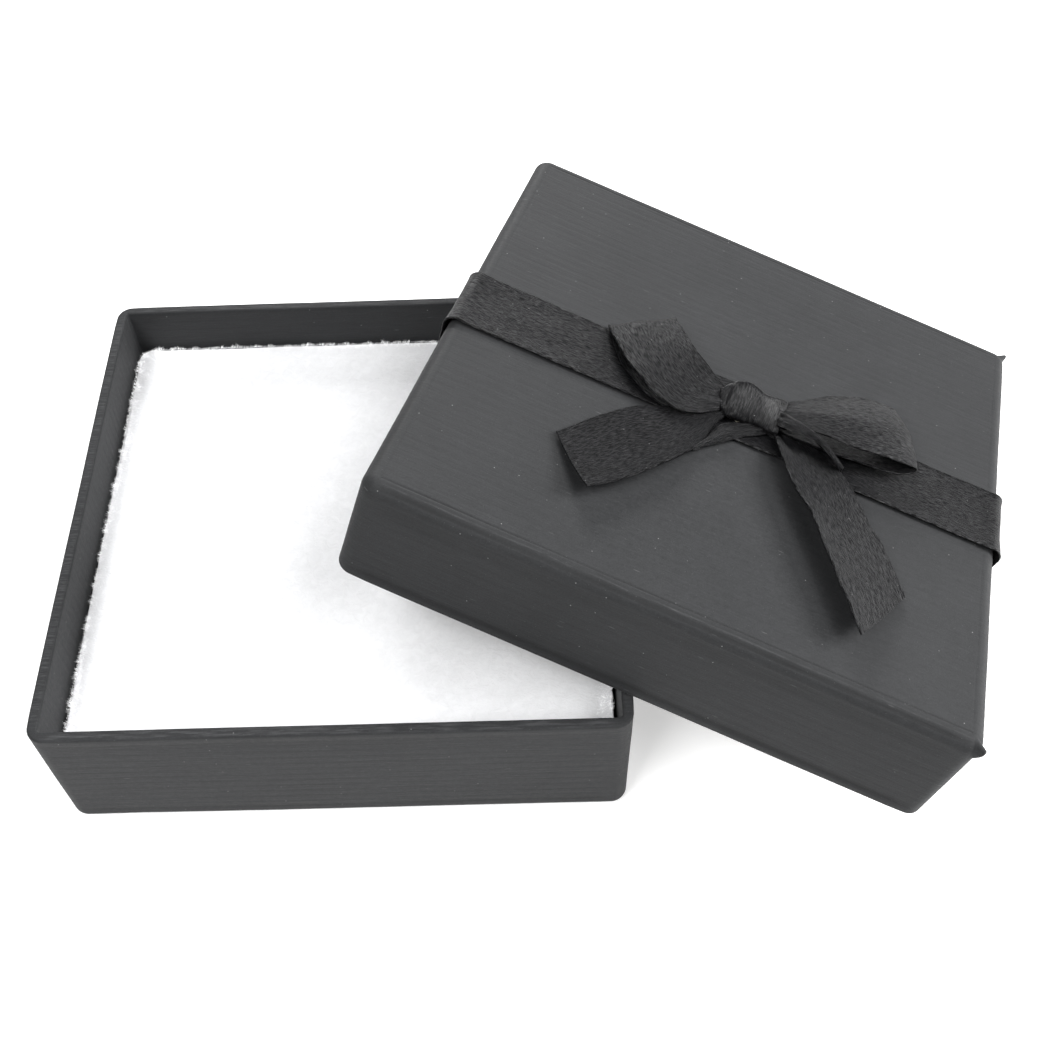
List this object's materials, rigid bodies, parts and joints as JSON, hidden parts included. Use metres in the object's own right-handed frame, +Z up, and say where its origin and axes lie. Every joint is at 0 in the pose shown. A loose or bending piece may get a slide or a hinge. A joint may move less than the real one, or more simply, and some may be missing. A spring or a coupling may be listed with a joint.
{
  "type": "jewelry gift box",
  "caption": "Square two-piece paper-covered gift box, lid leaning on its tray, with a satin ribbon band and bow and a white lift-out pad.",
  "frame": {"origin": "centre of the tray's underside, on the table", "axes": "+Z up, +X to the tray's right as seen from the front, +Y to its back; the tray's walls are parallel to X and Y"},
  "size_m": [0.1567, 0.1143, 0.0552],
  "materials": {
    "laid_black_paper": "uncoated charcoal-black laid paper with fine parallel ribs and a faint dusty sheen",
    "greyboard": "raw recycled greyboard with fibre flecks",
    "stay_tape": "gummed kraft paper tape",
    "pad_foam": "soft open-cell white foam, die cut",
    "pad_velvet": "bright white brushed fibre face with a fuzzy cut edge",
    "black_satin": "black satin ribbon, fine lengthwise threads, woven selvedge",
    "clear_glue": "set hot-melt glue"
  },
  "bodies": {
    "tray": {"tray_board": "greyboard", "tray_corner_stays": "stay_tape", "tray_wrap": "laid_black_paper"},
    "pad": {"pad_foam": "pad_foam", "pad_face": "pad_velvet"},
    "lid": {"lid_board": "greyboard", "lid_corner_stays": "stay_tape", "lid_wrap": "laid_black_paper", "ribbon_band": "black_satin", "band_end_glue": "clear_glue", "bow_ribbon": "black_satin", "bow_knot": "black_satin", "bow_glue": "clear_glue"}
  },
  "joints": [
    {"name": "pad_lift", "type": "slide", "parent": "tray", "child": "pad", "axis": [0, 0, 1], "range_m": [0, 0.03]},
    {"name": "lid_lift", "type": "slide", "parent": "pad", "child": "lid", "axis": [0, 0, 1], "range_m": [0, 0.06]}
  ]
}
